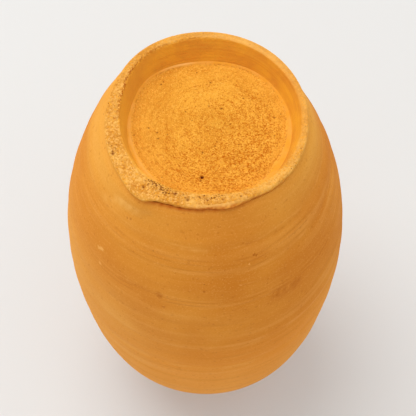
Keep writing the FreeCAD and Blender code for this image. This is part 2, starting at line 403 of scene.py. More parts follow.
def lip_swell(angle):
    """The lip stands out all along its far side, and is drawn in a little on the left of that."""
    return lobes(angle, LIP_SWELL)


def squeezed_out(angle):
    """The lip's bulge where soft clay was squeezed out: a long swell that ends in a kink."""
    turn = angle_from(angle, KINK)
    return SQUEEZE * hill(turn, 0, SWELL_RUN if turn > 0 else KINK_RUN)


def foot_shift(angle, height):
    """How far the outline is out of round: the foot's own way at the foot, and none on the belly."""
    return foot_out_of_round(angle) * ease(height, 12, CREVICE)


def groove_fill(angle):
    """How far the groove over the lip is smeared shut: open in front, closed on the left, faint behind."""
    return 1 - lobes(angle, GROOVE_OPEN)


def groove_dirt(angle):
    """Where the groove is open enough to hold dirt and painted shade."""
    return ease(groove_fill(angle), 0.6, 0.1)


def recess_out_of_round(angle, share):
    """The recess is full on the far left and flat behind; its rim is worn wide beside the front."""
    deep = lobes(angle, RECESS_FULL) - lobes(angle, RECESS_FLAT) * share
    return deep + lobes(angle, RIM_WEAR) * (1 - share)


def soft_rim(angle):
    """Where the recess's rim is rounded over: all round but on the far left."""
    return 1 - lobes(angle, SHARP_RIM)


def recess_edge(angle, height):
    """The recess's radius from the vase's axis, in one direction at one height."""
    share = height / FLOOR_LEVEL
    x, y = (rim + (deep - rim) * share for rim, deep in zip(RIM_CENTRE, RECESS_CENTRE))
    off = hypot(x, y)
    turn = angle - atan2(y, x)
    true_edge = off * cos(turn) + sqrt(straight_recess(height) ** 2 - (off * sin(turn)) ** 2)
    return true_edge + recess_out_of_round(angle, share)


def straight_recess(height):
    """The recess's radius before it is shifted off centre."""
    return RIM_RADIUS + (RECESS_RADIUS - RIM_RADIUS) * height / FLOOR_LEVEL


def ring_outside(height):
    """The ring's outer limit: upright round the lip, then along the bevel under the wall."""
    share = max(0, (height - FOOT_HEIGHT) / (RING_TOP - FOOT_HEIGHT))
    return FOOT_RADIUS if share == 0 else GROOVE_RADIUS + (BEVEL_RADIUS - GROOVE_RADIUS) * share


def foot_place(radius, angle, height):
    """Where a point of the turned foot goes once the recess is off centre and the lip is out of round."""
    outside = ring_outside(height)
    inside = straight_recess(height)
    across = min(1, (outside - radius) / (outside - inside))
    past_edge = max(0, inside - radius)
    new_outside = outside + foot_shift(angle, height)
    if height < FOOT_HEIGHT + WELD:
        lip = ease(height, FOOT_HEIGHT, 1.5)
        ledge = lobes(angle, LIP_LEDGE) * ease(height, 0.4, FOOT_HEIGHT - 0.3)
        ragged = 0.16 * rough(25, angle, 0, 2.2, 21)
        ragged += 0.1 * rough(25, angle, height, 0.7, 27)
        new_outside += (squeezed_out(angle) + lip_swell(angle)) * (0.25 + 0.75 * lip)
        new_outside += ledge + ragged * lobes(angle, PRESSED)
    new_inside = recess_edge(angle, height)
    return new_outside + (new_inside - new_outside) * across - past_edge


# Scuffs on the outside, and beside the lip's bulge two pale streaks of painted highlight: from an angle and
# height to another, in degrees and millimetres, then the half width and depth in millimetres, and how dark
# it is, or how pale if that is less than 0
MARKS = (
    (-52, 32.7, -70, 32.3, 0.55, 0.08, 0.4),
    (-121, 36.2, -130, 37, 2.6, 0, 0.72),
    # The next two pale streaks, beside the lip's bulge, are painted highlight.
    (-33, 11.2, -50, 7.8, 1.7, 0, -0.3),
    (-40, 7.4, -60, 5.8, 1.2, 0, -0.45),
    (-79, 13, -91, 13.4, 0.6, 0, -0.4),
    (-142, 14.2, -126, 13.6, 0.5, 0.05, 0.45),
    (-126, 13.6, -110, 13.2, 0.5, 0.05, 0.45),
    (-106.5, 18, -108.5, 18.3, 0.5, 0.05, 0.4),
    (-58.5, 6.2, -60.5, 6.6, 1.2, 0.18, 0.2),
    (100, 52, 109, 55, 0.8, 0.06, 0.35),
    (62, 86, 57, 81, 0.7, 0.05, -0.25),
    (160, 66, 172, 64, 1.5, 0, 0.35),
    (18, 96, 26, 97, 0.7, 0.06, -0.22),
    (140, 30, 146, 33, 0.7, 0.08, 0.4),
    (-160, 88, -152, 91, 0.9, 0.05, 0.35),
)
MARK_RADIUS = 33
DEGREE = MARK_RADIUS * TAU / 360
MARK_REACH = 18


def scuffed(angle, height):
    """How deep the scuffs go at a spot on the outside, and how dark or pale the scuffs and the painted
    highlights leave it.
    """
    depth = tone = 0
    for start, low, end, high, width, deep, dark in MARKS:
        aside = angle_from(angle, start) * DEGREE
        above = height - low
        if max(abs(aside), abs(above)) < MARK_REACH:
            run_aside = (end - start) * DEGREE
            rise = high - low
            share = min(1, max(0, (aside * run_aside + above * rise) / (run_aside ** 2 + rise ** 2)))
            near = hill(hypot(aside - run_aside * share, above - rise * share), 0, width)
            depth += deep * near
            tone += dark * near
    return depth, tone


def on_belly(turn, height):
    """The spot on the lower belly at an angle in degrees and a height."""
    radius = LOWER_CENTRE[0] + sqrt(LOWER_ARC ** 2 - (BELLY_HEIGHT - height) ** 2)
    return radius * cos(radians(turn)), radius * sin(radians(turn)), height


# Masks on the wall and neck


def scuff_tone(radius, angle, height):
    return scuffed(angle, height)[1] * (0.75 + 0.7 * rough(radius, angle, height, 1.4, 0))


def bleached(_, angle, height):
    """Painted light: the clay is painted paler and yellower round the foot, least in front where shade
    falls, and down the lit side.
    """
    share = 0.55 + lobes(angle, SUN_BY_FOOT)
    side = lobes(angle, SUNNY_SIDE) * ease(height, 70, 40)
    return share * ease(height, 18, 4) + side


def dusted(_, angle, height):
    """Where the clay is paler: dust all round the shoulder and neck, and low on the left dust together with
    painted light on the lit side.
    """
    left = lobes(angle, DUSTY_SIDE) * ease(height, 20, 55)
    return max(left, 0.34 * ease(height, 55, 100))


def crevice_soil(radius, angle, height):
    """Reddish brown along the groove at the foot, a little patchy, thickest in front: dirt, and painted
    shade in the crevice.
    """
    patches = 0.8 + 0.7 * rough(25, angle, 0, 1.1, 17)
    deep = ease(height + lip_drop(angle) - CREVICE, 0.65, 0.15)
    return deep * patches * ease(radius, GROOVE_RADIUS - 1, GROOVE_RADIUS) * groove_dirt(angle)


def lip_wear(_, angle, height):
    return ease(height, MOUTH - 1.2, MOUTH)


# Masks on the foot

# Pits that stand out in the ring's face: angle in degrees, radius and half width in millimetres
FACE_PITS = (
    (-52.6, 23.8, 0.34),
    (-79.9, 22.75, 0.36),
    (-91.8, 22.4, 0.28),
    (-71.5, 21.9, 0.4),
    (-101, 22.7, 0.24),
    (-112, 23.1, 0.24),
    (-24, 24.1, 0.4),
)
# Dirt on the ring's face: how much, its angle and half width in degrees, its radius and half width in
# millimetres
FACE_DIRT = (
    (0.9, -61, 9, 21.6, 1.1),
    (0.35, -88, 26, 21.8, 1.3),
    (0.22, -22, 8, 23.9, 1.2),
)


def face_pit(radius, angle):
    """How far a spot is inside one of the face's pits, from 0 at its edge to 1 in its middle."""
    inside = 0
    for turn, reach, size in FACE_PITS:
        aside = radius * radians(angle_from(angle, turn))
        inside = max(inside, hill(hypot(radius - reach, aside), 0, size))
    return inside


def face_pit_shade(radius, angle, height):
    return face_pit(radius, angle) * ease(height, 1.5, 0.9)


def bearing_scuff(radius, angle, height):
    """Pale wear on the face that the vase stands on, fading up the lip and ending at the recess's rim."""
    inside = radius < recess_edge(angle, 0) + 0.3
    limit = 0.55 + 0.45 * soft_rim(angle) if inside else 1.5
    return ease(height, limit, 0.2)


def foot_soil(radius, angle, height):
    """Dark brown dirt rubbed into the face, most of it front left."""
    dirt = 0
    for share, turn, spread, reach, width in FACE_DIRT:
        dirt += share * lobe(angle, turn, spread) * hill(radius, reach, width)
    return min(1, dirt) * ease(height, 1.5, 0.7)


def lip_rust(radius, angle, height):
    """Reddish brown along the lip's top edge in front, in patches: dirt, and painted shade on the band next
    to the groove.
    """
    lip_top = FOOT_HEIGHT - lip_drop(angle)
    edge = ease(height, lip_top - 1.2, lip_top - 0.35) * (radius > GROOVE_RADIUS - 1)
    patches = 0.75 + 1.1 * rough(radius, angle, height, 0.75, 0)
    return edge * min(1, max(0, patches)) * min(1, lobes(angle, RUSTY_LIP))


def coarse_face(_, angle, height):
    """Where the face's grains stand out: on the left and in front, and less on the right."""
    return 0.25 + 0.75 * min(1, lobes(angle, COARSE_GRAINS))


def torn_rim(radius, angle, height):
    """Where the recess's rim is torn and pitted, on the left and the far left."""
    near_rim = hill(radius, recess_edge(angle, 0) + 0.1, 0.35)
    return near_rim * ease(height, 1.4, 0.5) * min(1, lobes(angle, TORN_RIM))


def lip_shine(radius, angle, height):
    """Painted highlight on the lip's rounded edge: along its far side, and brightest in a short stretch in
    front.
    """
    edge = hill(height, 0.45, 0.4) * (radius > GROOVE_RADIUS - 0.5)
    return edge * lobes(angle, RUBBED_LIP)


# Masks on the foot's slip


def bead_edge(radius, _, height):
    """Where the bead thins out over the floor and the floor's grit shows through."""
    on_bead = radius < GROOVE_RADIUS - 2
    return ease(height, FLOOR_LEVEL - 0.5, FLOOR_LEVEL - 0.02) * on_bead


def bead_shine(radius, angle, height):
    """Painted highlight on the bead's crest: a short stretch on the far left, and fainter all along the
    left.
    """
    crest = hill(height, RING_TOP - 0.22, 0.25) * (radius < GROOVE_RADIUS - 1)
    return crest * lobes(angle, RUBBED_BEAD)


def seam_soil(radius, angle, height):
    """Reddish brown in the open groove: dirt, and painted shade in the crevice."""
    return groove_dirt(angle) * (radius > GROOVE_RADIUS - 1)


# Pieces


def make_body():
    """The thrown belly and shoulder, with a softened edge above the groove at the foot."""
    edge_rise = CREVICE + WALL_EDGE
    low_angle = -asin((BELLY_HEIGHT - edge_rise) / (LOWER_ARC - WALL_EDGE))
    edge_centre = (LOWER_CENTRE[0] + (LOWER_ARC - WALL_EDGE) * cos(low_angle), edge_rise)
    edge = arc(edge_centre, WALL_EDGE, -pi / 2, low_angle, 0.1)
    outside = belly_line(0, low_angle, SLIP_ANGLE, 0.8)
    inside = inside_line(WALL, SLIP_ANGLE, 2)
    outline = [
        (FLOOR_RADIUS, FLOOR_LEVEL),
        (BEVEL_RADIUS, FLOOR_LEVEL),
        (GROOVE_RADIUS, CREVICE),
        *edge,
        *outside[1:],
        *reversed(inside),
        (FLOOR_RADIUS - FLOOR_TAPER, FLOOR_TOP),
    ]
    body = spun("thrown_body", outline, BODY_STEPS)

    def place(radius, angle, height):
        depth, out, up = on_outline(radius, height)
        if depth > WALL / 2 or radius < BEVEL_RADIUS and height < FLOOR_TOP:
            return radius, height
        shift = thrown(angle, height) - scuffed(angle, height)[0]
        radius += foot_shift(angle, height)
        if radius > GROOVE_RADIUS + WELD:
            radius += 0.6 * squeezed_out(angle) * ease(height, 9, CREVICE)
            smear = groove_fill(angle)
            drop = lip_drop(angle) * ease(height, CREVICE + 6, CREVICE)
            radius -= FOOT_STEP * max(smear, 0.75) * ease(height, CREVICE + 2.2, CREVICE)
            if height < CREVICE + WALL_EDGE:
                radius += (FOOT_RADIUS + foot_shift(angle, CREVICE) - radius) * smear
                height += (CREVICE - GROOVE_GAP - height) * smear
            height -= drop
        return radius + out * shift, height + up * shift

    reshape(body, place)
    paint(body, soil=crevice_soil, sun=bleached, dust=dusted, mark=scuff_tone)
    return body


def make_foot():
    """The ring: a rolled lip, a gritty bearing face, a ragged rim and the recess's turned wall."""
    lip_centre = (FOOT_RADIUS - LIP_ROUND, LIP_ROUND)
    corner_centre = (FOOT_RADIUS - LIP_CORNER, FOOT_HEIGHT - LIP_CORNER)
    rim_low = RIM_RADIUS + RIM_ROUND
    outline = [
        *run((GROOVE_RADIUS, FOOT_HEIGHT), (corner_centre[0], FOOT_HEIGHT), 0.2),
        *arc(corner_centre, LIP_CORNER, pi / 2, 0, 0.1)[1:],
        *run((FOOT_RADIUS, corner_centre[1]), (FOOT_RADIUS, LIP_ROUND), 0.2)[1:],
        *arc(lip_centre, LIP_ROUND, 0, -pi / 2, 0.12)[1:],
        *run((lip_centre[0], 0), (rim_low, 0), 0.12)[1:],
        *arc((rim_low, RIM_ROUND), RIM_ROUND, -pi / 2, -pi, 0.12)[1:-1],
        *run((straight_recess(RIM_ROUND), RIM_ROUND), (straight_recess(RING_TOP), RING_TOP), 0.25),
        (BEVEL_RADIUS, RING_TOP),
    ]
    foot = spun("foot_ring_clay", outline, FOOT_STEPS)

    def place(radius, angle, height):
        if height > corner_centre[1] and radius > GROOVE_RADIUS + WELD:
            radius += (FOOT_RADIUS - radius) * groove_fill(angle)
        new_radius = foot_place(radius, angle, height)

        def lumps(size, seed):
            return rough(new_radius, angle, height, size, seed)

        coarse = 0.6 + lobes(angle, ROUGH_FACE)
        grit = lumps(0.8, 1) + 0.7 * lumps(0.42, 2)
        dents = max(0, lumps(2.1, 6) - 0.1)
        pits = max(0, lumps(0.62, 15) - 0.22)
        hollows = 0.08 * coarse * (1 + grit) + 0.14 * dents + 0.5 * coarse * pits
        hollows += 0.3 * face_pit(new_radius, angle)
        from_rim = new_radius - recess_edge(angle, 0)
        rounded = 0.45 * soft_rim(angle) * ease(from_rim, 1.2, 0)
        new_height = height + (hollows + rounded) * ease(height, 0.8, 0)
        if radius > GROOVE_RADIUS + WELD:
            new_height -= lip_drop(angle) * ease(height, 0.3, FOOT_HEIGHT)
        if radius < straight_recess(height) + 0.5:
            turning = 0.05 * rough(4, angle, height * 4, 2.5, 9) * ease(height, 1, 2)
            chips = max(0, lumps(0.8, 12) + 0.05) * lobes(angle, CHIPPED_RIM)
            new_radius += turning + 0.75 * chips * ease(height, 1.3, 0)
        if height < FOOT_HEIGHT:
            new_radius += 0.04 * grit
        return new_radius, new_height

    reshape(foot, place)
    paint(foot, scuff=bearing_scuff, soil=foot_soil, torn=torn_rim, coarse=coarse_face)
    paint(foot, worn=lip_shine, pit=face_pit_shade, rust=lip_rust)
    return foot


def make_slip_bead():
    """The slip that lutes the ring on, squeezed out as a soft bead round the recess's floor."""
    seam_round = (CREVICE - FOOT_HEIGHT) / 2
    seam_centre = (FOOT_RADIUS - seam_round, FOOT_HEIGHT + seam_round)
    outline = [
        *bead_line(),
        (straight_recess(RING_TOP), RING_TOP),
        (BEVEL_RADIUS, RING_TOP),
        (GROOVE_RADIUS, FOOT_HEIGHT),
        *arc(seam_centre, seam_round, -pi / 2, pi / 2, 0.06),
        (GROOVE_RADIUS, CREVICE),
        (BEVEL_RADIUS, FLOOR_LEVEL),
    ]
    slip = spun("slip_bead", outline, FOOT_STEPS)

    def place(radius, angle, height):
        if radius > GROOVE_RADIUS:
            seam = GROOVE_RADIUS + (radius - GROOVE_RADIUS) * max(0.8, groove_fill(angle))
            return seam + foot_shift(angle, height) + 0.25 * lip_swell(angle), height - lip_drop(angle)
        past_wall = straight_recess(height) - radius
        if past_wall < -WELD:
            return foot_place(radius, angle, min(height, FLOOR_LEVEL)), height
        width = bead_width(angle)
        if height < RING_TOP:
            height = RING_TOP - (RING_TOP - height) * (0.35 + 0.35 * width)
        return recess_edge(angle, height) - past_wall * width, height

    reshape(slip, place)
    paint(slip, edge=bead_edge, soil=seam_soil, worn=bead_shine)
    return slip


def bead_line():
    """The bead's section, which runs out of the floor, over a soft crown and on into the recess's wall."""
    foot = RING_TOP - BEAD
    handle = 0.35 * BEAD
    inner = RECESS_RADIUS - BEAD
    guides = (
        (inner, FLOOR_LEVEL),
        (inner + handle, FLOOR_LEVEL),
        (straight_recess(foot + handle), foot + handle),
        (straight_recess(foot), foot),
    )
    line = []
    for step in range(BEAD_CUTS + 1):
        way = step / BEAD_CUTS
        pulls = ((1 - way) ** 3, 3 * way * (1 - way) ** 2, 3 * way ** 2 * (1 - way), way ** 3)
        crown = BEAD_CROWN * sin(pi * way) ** 2
        line.append(tuple(sum(map(prod, zip(pulls, side))) - crown for side in zip(*guides)))
    return line


def bead_width(angle):
    """The bead is wide on the left and the right, thin on the far side, and wavers a little."""
    waver = 0.1 * rough(20, angle, 0, 6, 4) + 0.05 * rough(20, angle, 0, 1.6, 7)
    return 0.5 + lobes(angle, WIDE_BEAD) + waver


# Pits in the floor that stand out, the deepest first: place and radius in millimetres
PORES = (
    (0.65, -12.1, 0.43),
    (0.95, -13.1, 0.26),
    (14, 1.8, 0.26),
    (11.8, 0.5, 0.24),
    (11.5, -1.2, 0.26),
    (17.5, -0.3, 0.22),
    (11, 14.5, 0.28),
    (10.5, 15.3, 0.24),
    (-1.5, 15, 0.24),
    (2, 18, 0.2),
    (-4.2, 7.4, 0.3),
    (-17.4, 4.8, 0.28),
    (-19, 5.8, 0.22),
    (0.5, -5.2, 0.26),
    (-7.6, -8.6, 0.22),
)
PIT_SEED = 7
PITS = 34
PIT_REACH = 19.5
DEEP_PIT = 0.4
GRIT_SPACING = 0.34
GRIT_ROUND = 24


def grit_share(x, y):
    """How thickly the floor is torn: little on the far left and by the bead, most right and in front."""
    right = ease(-x, -18, 12) * (1 - 0.5 * ease(y, 8, 18))
    front = ease(-y, -16, 12)
    clumps = 0.2 * noise.noise(Vector((x, y, 0)) / 2.4)
    by_bead = ease(dist((x, y), RECESS_CENTRE), 14.5, 19.5)
    return min(1, max(0, 0.55 * right + 0.4 * front + clumps)) * (1 - 0.7 * by_bead)


def floor_grit(x, y):
    """Fine grit torn along the turning marks round the nub: 0 where smooth, 1 in the middle of a speck."""
    off = Vector((x - NUB_CENTRE[0], y - NUB_CENTRE[1], 0))
    away = off.length
    spot = off.normalized() * GRIT_ROUND
    spot.z = away / GRIT_SPACING
    level = noise.noise(spot) + 0.6 * noise.noise(2.3 * spot)
    limit = 0.5 - 0.32 * grit_share(x, y)
    return ease(level, limit, limit + 0.3)


def floor_pits():
    """Pits where a grain came out: the ones that stand out, and more by chance where the grit is thick."""
    chance = random.Random(PIT_SEED)
    pits = list(PORES)
    while len(pits) < PITS:
        reach = PIT_REACH * sqrt(chance.random())
        angle = TAU * chance.random()
        x = RECESS_CENTRE[0] + reach * cos(angle)
        y = RECESS_CENTRE[1] + reach * sin(angle)
        if chance.random() < 0.25 + 0.75 * grit_share(x, y):
            pits.append((x, y, chance.uniform(0.12, 0.22)))
    return pits


def make_floor():
    """The gritty floor, with turning marks, a low nub in the middle and pits."""
    shown_radius = RECESS_RADIUS + 2.6
    outline = [
        *run((0, FLOOR_LEVEL), (shown_radius, FLOOR_LEVEL), FLOOR_SPACING),
        (FLOOR_RADIUS, FLOOR_LEVEL),
        (FLOOR_RADIUS - FLOOR_TAPER, FLOOR_TOP),
        (0, FLOOR_TOP),
    ]
    floor = spun("gritty_floor", outline, FLOOR_STEPS)
    below = [vertex for vertex in floor.data.vertices if vertex.co.z < (FLOOR_LEVEL + WELD) * MM]
    tree = kdtree.KDTree(len(below))
    for index, vertex in enumerate(below):
        tree.insert(vertex.co, index)
    tree.balance()
    masks = ("grit", "torn", "pit", "nub")
    for name in masks:
        floor.data.attributes.new(name, "FLOAT", "POINT")
    grit, torn, pit, nub = (floor.data.attributes[name] for name in masks)
    for vertex in below:
        x, y, _ = vertex.co / MM
        away = dist((x, y), NUB_CENTRE)
        turned = noise.noise(Vector((away / 0.9, atan2(y, x) * 0.4, 3)))
        waves = noise.noise(Vector((away / 2.6, 0, 11)))
        grain = noise.noise(vertex.co / (0.55 * MM))
        speck = floor_grit(x, y)
        disc = ease(away, 2, 1.2)
        grit.data[vertex.index].value = grit_share(x, y)
        torn.data[vertex.index].value = speck * (1 - 0.6 * disc)
        nub.data[vertex.index].value = disc
        low = 0.16 * disc - 0.06 * hill(away, 2.4, 0.6)
        marks = 0.035 * turned + 0.06 * waves + 0.05 * grain + 0.1 * speck * (1 - disc)
        vertex.co.z += MM * (marks - low)
    for x, y, size in floor_pits():
        deep = 1 if size > DEEP_PIT else 0.6
        for spot, index, away in tree.find_range(Vector((x, y, FLOOR_LEVEL)) * MM, 2.5 * size * MM):
            away *= (1 + 0.6 * noise.noise(spot / (0.4 * MM))) / MM
            share = deep * ease(away, 1.5 * size, 0.4 * size)
            vertex = below[index]
            vertex.co.z += 1.2 * MM * size * share
            mark = pit.data[vertex.index]
            mark.value = max(mark.value, share)
    return floor


def make_neck():
    """The thrown neck, from its joint on the shoulder up to a full round lip."""
    outline = [
        *neck_line(0, 0.6),
        *arc(LIP_CENTRE, WALL / 2, LIP_ANGLE - pi, LIP_ANGLE, 0.3)[1:],
        *list(reversed(neck_line(WALL, 1.5)))[1:],
    ]
    neck = spun("thrown_neck", outline, BODY_STEPS)
    reshape(neck, hand_thrown)
    paint(neck, sun=bleached, dust=dusted, scuff=lip_wear)
    return neck


def make_neck_seam():
    """The slip in the neck's joint, wiped almost flush."""
    outline = [
        *arc(SHOULDER_CENTRE, SHOULDER_ROUND, SLIP_ANGLE, JOINT_ANGLE, 0.12),
        *arc(SHOULDER_CENTRE, SHOULDER_ROUND - WALL, JOINT_ANGLE, SLIP_ANGLE, 1),
    ]
    seam = spun("neck_seam", outline, BODY_STEPS)

    def place(radius, angle, height):
        turn = atan2(height - SHOULDER_CENTRE[1], radius - SHOULDER_CENTRE[0])
        ridge = sin(pi * (turn - SLIP_ANGLE) / (JOINT_ANGLE - SLIP_ANGLE))
        return hand_thrown(radius, angle, height, SEAM_RIDGE * max(0, ridge))

    reshape(seam, place)
    return seam


def make_glaze():
    """The thin coat on the inside, which ends in a wavering line under the lip."""
    low, high = (
        inside_line(depth, JOINT_ANGLE, COAT_SPACING) + neck_line(depth, COAT_SPACING)[1:]
        for depth in (WALL, WALL + GLAZE)
    )
    outline = [(0, FLOOR_TOP), *low, *reversed(high), (0, FLOOR_TOP + GLAZE)]
    coat = spun("glaze_coat", outline, COAT_STEPS)

    def place(radius, angle, height):
        out = (radius - NECK_CENTRE[0], height - NECK_CENTRE[1])
        turn = atan2(out[1], out[0]) % TAU
        if height < NECK_CENTRE[1] - NECK_ROUND or turn > LIP_ANGLE + GLAZE_FADE:
            return radius, height
        sag = GLAZE_SAG * (0.6 + rough(8, angle, 0, 4, 2)) / NECK_ROUND
        turn += sag * ease(turn, LIP_ANGLE + GLAZE_FADE, LIP_ANGLE)
        reach = hypot(*out)
        return NECK_CENTRE[0] + reach * cos(turn), NECK_CENTRE[1] + reach * sin(turn)

    reshape(coat, place)
    return coat


# Finishes


def picked(red, green, blue):
    """A colour as picked on a screen, turned into the linear one that a shader takes."""
    parts = [part / 255 for part in (red, green, blue)]
    return (*(part / 12.92 if part < 0.04 else ((part + 0.055) / 1.055) ** 2.4 for part in parts), 1)


CLAY = picked(217, 141, 44)
DEEP_CLAY = picked(206, 125, 33)
WARM_CLAY = picked(240, 152, 48)
DUSTY_CLAY = picked(232, 168, 82)
SUNNY_CLAY = picked(231, 168, 68)
FLOOR_CLAY = picked(236, 173, 61)
FLOOR_DEEP = picked(208, 134, 30)
FLOOR_PALE = picked(246, 188, 80)
GRIT_CLAY = picked(178, 90, 10)
FLOOR_GRIT = picked(192, 101, 0)
BROWN_GRIT = picked(120, 44, 0)
PORE_BROWN = picked(90, 4, 0)
FACE_CLAY = picked(206, 138, 48)
FACE_PALE = picked(226, 168, 76)
PALE_GRAIN = picked(246, 194, 108)
RECESS_CLAY = picked(232, 161, 44)
DARK_SOIL = picked(126, 64, 2)
RUST = picked(184, 90, 14)
SLIP_CLAY = picked(234, 166, 62)
SEAM_CLAY = picked(222, 146, 52)
SEAM_PALE = picked(231, 157, 66)
HONEY = picked(150, 84, 34)
DARK_HONEY = picked(104, 54, 22)


class Finish:
    """A material in the making, with short ways to add its next node and the next layer of its colour."""

    def __init__(self, name, **surface):
        self.material = bpy.data.materials.new(name)
        self.material.use_nodes = True
        self.tree = self.material.node_tree
        self.shader = self.tree.nodes["Principled BSDF"]
        self.feed(self.shader, {label.replace("_", " "): value for label, value in surface.items()})
        self.spot = self.add("TexCoord", {})["Object"]
        self.colour = None

    def feed(self, made, inputs):
        """Links a node's inputs to other nodes' outputs, or sets them to plain values."""
        for socket, source in inputs.items():
            if isinstance(source, bpy.types.NodeSocket):
                self.tree.links.new(source, made.inputs[socket])
            else:
                made.inputs[socket].default_value = source

    def add(self, kind, inputs, **settings):
        """Adds a node and gives its outputs."""
        made = self.tree.nodes.new("ShaderNode" + kind)
        for name, setting in settings.items():
            setattr(made, name, setting)
        self.feed(made, inputs)
        return made.outputs

    def reckon(self, operation, first, second):
        return self.add("Math", {0: first, 1: second}, operation=operation)["Value"]

    def times(self, first, second):
        return self.reckon("MULTIPLY", first, second)

    def vector(self, operation, inputs, output="Vector"):
        return self.add("VectorMath", inputs, operation=operation)[output]

    def span(self, value, low, high, to_low=0, to_high=1):
        """Eases a value between two limits on to two others."""
        limits = {"From Min": low, "From Max": high, "To Min": to_low, "To Max": to_high}
        return self.add("MapRange", {"Value": value, **limits}, interpolation_type="SMOOTHSTEP")["Result"]

    def along(self, axis):
        """How far along one axis a spot is, in millimetres."""
        return self.reckon("DIVIDE", self.add("SeparateXYZ", {"Vector": self.spot})[axis], MM)

    def mask(self, name):
        return self.add("Attribute", {}, attribute_name=name)["Fac"]

    def noise(self, spot, detail):
        return self.add("TexNoise", {"Vector": spot, "Scale": 1, "Detail": detail})["Fac"]

    def cloud(self, size, detail=2, stretch=(1, 1, 1)):
        """Soft noise from 0 to 1, with patches of about the given size, longer where stretch is smaller."""
        scale = [way / (size * MM) for way in stretch]
        return self.noise(self.add("Mapping", {"Vector": self.spot, "Scale": scale})["Vector"], detail)

    def around(self, centre, turns, spacing):
        """A spot that follows circles round a centre: its height is how many spacings the circle is out."""
        shift = {"Location": (-centre[0] * MM, -centre[1] * MM, 0), "Scale": (1, 1, 0)}
        centred = self.add("Mapping", {"Vector": self.spot, **shift})["Vector"]
        away = self.vector("LENGTH", {0: centred}, "Value")
        circle = self.vector("SCALE", {0: self.vector("NORMALIZE", {0: centred}), "Scale": turns})
        out = self.add("CombineXYZ", {"Z": self.reckon("DIVIDE", away, spacing * MM)})["Vector"]
        return self.vector("ADD", {0: circle, 1: out})

    def cells(self, size):
        """Cells of about the given size: how far a spot is from its cell's middle, and the cell's lot."""
        made = self.add("TexVoronoi", {"Vector": self.spot, "Scale": 1 / (size * MM)})
        return made["Distance"], self.add("SeparateColor", {"Color": made["Color"]})["Red"]

    def grains(self, size):
        """A value from 0 to 1 for each grain, drawn by lot, with grains of about the given size."""
        return self.cells(size)[1]

    def specks(self, spacing, size, share):
        """Scattered round specks: 1 inside one and 0 outside, in a share of the cells."""
        away, lot = self.cells(spacing)
        inside = self.span(away, 0.6 * size / spacing, 1.2 * size / spacing, 1, 0)
        return self.times(inside, self.reckon("LESS_THAN", lot, share))

    def stripe(self, level, middle, width):
        """A thin band along one level: 1 on its line and 0 away from it."""
        off = self.reckon("SUBTRACT", level, middle)
        return self.span(self.times(off, off), 0, width * width, 1, 0)

    def ragged(self, size, amount):
        """A spot pushed about by noise, so that what is drawn from it has a ragged edge."""
        push = self.add("TexNoise", {"Vector": self.spot, "Scale": 1 / (size * MM), "Detail": 1})["Color"]
        push = self.vector("MULTIPLY_ADD", {0: push, 1: [amount * MM] * 3, 2: [-amount * MM / 2] * 3})
        return self.vector("ADD", {0: self.spot, 1: push})

    def near(self, spot, middle, size):
        """How near a spot is to the middle of a dab: 1 inside it and 0 away from it."""
        away = self.vector("DISTANCE", {0: spot, 1: [part * MM for part in middle]}, "Value")
        return self.span(away, 0.5 * size * MM, 1.3 * size * MM, 1, 0)

    def tint(self, amount, under, over):
        """Lays one colour over another by an amount."""
        return self.add("Mix", {"Factor": amount, 6: under, 7: over}, data_type="RGBA")[2]

    def lay(self, over, amount):
        """Lays a colour over what is there, by an amount."""
        self.colour = self.tint(amount, self.colour, over)

    def wash(self, over, value, low, high, most=1):
        """Lays a colour over what is there: none at a value's low limit, most at its high one."""
        self.lay(over, self.span(value, low, high, 0, most))

    def stain(self, over, mask, most=1):
        """Lays a colour over what is there, as a mask says."""
        self.lay(over, self.times(self.mask(mask), most))

    def bump(self, height, depth, under=None):
        """Raises the surface by a height from 0 to 1 of the given depth."""
        inputs = {"Distance": depth * MM, "Height": height}
        if under is not None:
            inputs["Normal"] = under
        return self.add("Bump", inputs)["Normal"]

    def done(self, roughness, normal):
        self.feed(self.shader, {"Base Color": self.colour, "Roughness": roughness, "Normal": normal})
        return self.material


# Bands left by the wheel: height and half width in millimetres, and how pale, or how dark if less than 0
STRIPES = (
    (12.7, 0.5, 0.22),
    (17.0, 0.5, -0.25),
    (18.5, 0.4, -0.25),
    (20.7, 0.35, -0.25),
    (21.9, 0.45, 0.2),
    (32.2, 0.35, 0.25),
    (33.3, 0.35, -0.3),
    (34.8, 0.4, -0.3),
    (44.0, 0.8, -0.15),
    (56.8, 1.2, 0.3),
    (64.0, 0.9, -0.15),
    (72.8, 1.4, 0.3),
    (86.0, 0.8, -0.15),
    (103.0, 0.7, -0.15),
)
# Dabs on the belly: angle in degrees, height and half width in millimetres, and how pale, or how dark if
# less than 0
DABS = (
    (-70.6, 31.9, 1.1, -0.38),
    (-71.0, 33.1, 0.8, -0.38),
    (-72.8, 36.8, 0.6, -0.35),
    (-89.7, 27.6, 0.5, -0.6),
    (-112.9, 17.1, 0.42, -0.7),
    (-114.1, 17.7, 0.38, -0.7),
    (-51.5, 10.2, 0.45, -0.5),
    (-49.5, 10.6, 0.35, -0.4),
    (-40.2, 28.0, 0.8, 0.42),
    (-38.4, 28.7, 0.7, 0.38),
    (-40.5, 34.5, 0.7, 0.32),
    (-110.0, 19.8, 0.35, 0.5),
    (-105.5, 26.8, 0.35, 0.5),
    (84, 41, 0.6, -0.5),
    (128, 22, 0.5, 0.5),
    (33, 47, 0.5, -0.5),
    (172, 39, 0.6, 0.45),
)


